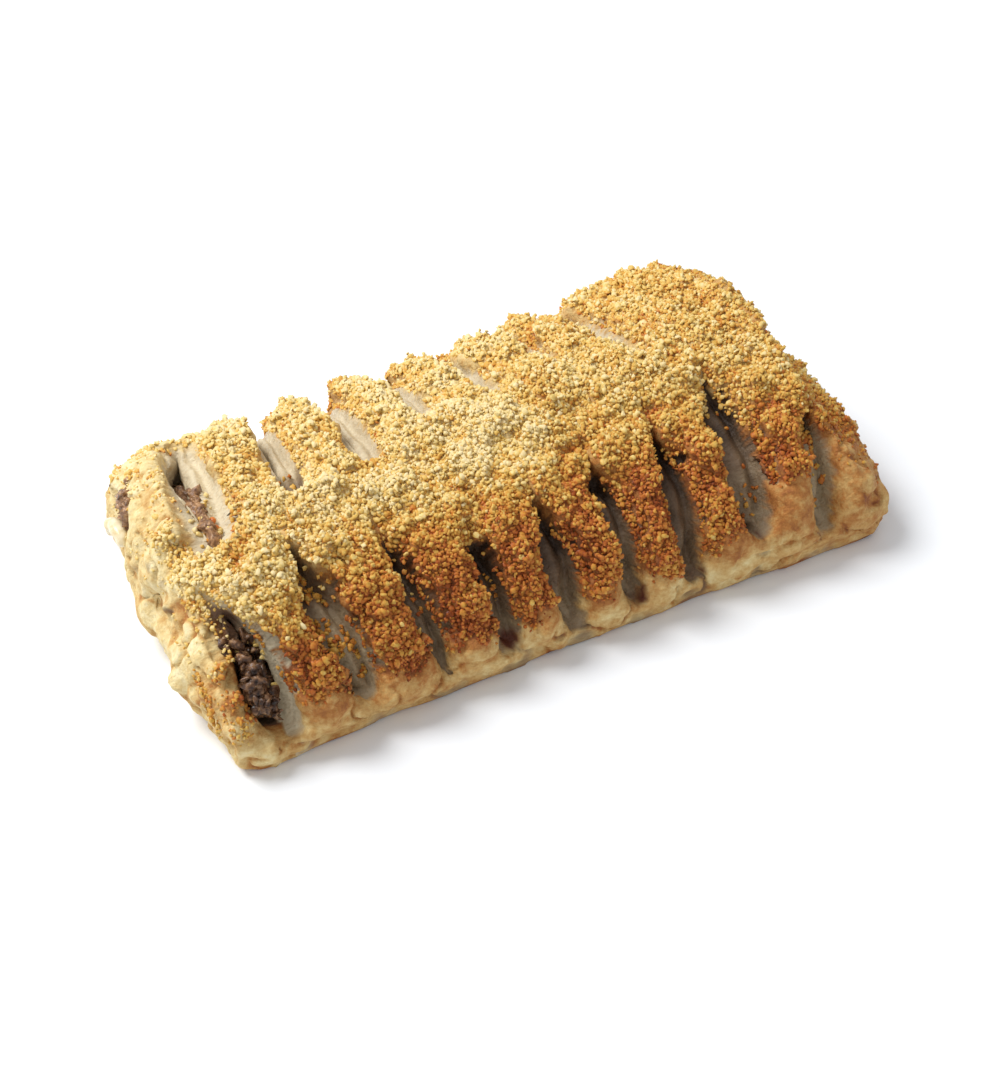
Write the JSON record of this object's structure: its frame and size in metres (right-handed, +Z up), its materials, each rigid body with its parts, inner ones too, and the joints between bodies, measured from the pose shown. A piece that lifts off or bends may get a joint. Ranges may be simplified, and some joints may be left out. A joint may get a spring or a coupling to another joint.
{
  "type": "meat pasty",
  "caption": "Loaf-shaped puff pastry parcel with a crumb-covered, slit lattice top and a minced-meat filling that shows in the slits and at the open ends.",
  "frame": {"origin": "middle of the footprint, on the surface that the pasty rests on", "axes": "+X along the loaf towards its taller, closed end, +Y from the front row of slits to the back row, +Z up"},
  "size_m": [0.1552, 0.0904, 0.0356],
  "materials": {
    "baked_crust": "baked puff pastry with toasted crumbs, matt, pale gold to brown",
    "cooked_mince": "moist cooked minced meat, dark brown with a dull sheen"
  },
  "bodies": {
    "root": {"pastry": "baked_crust", "filling": "cooked_mince"}
  },
  "joints": []
}
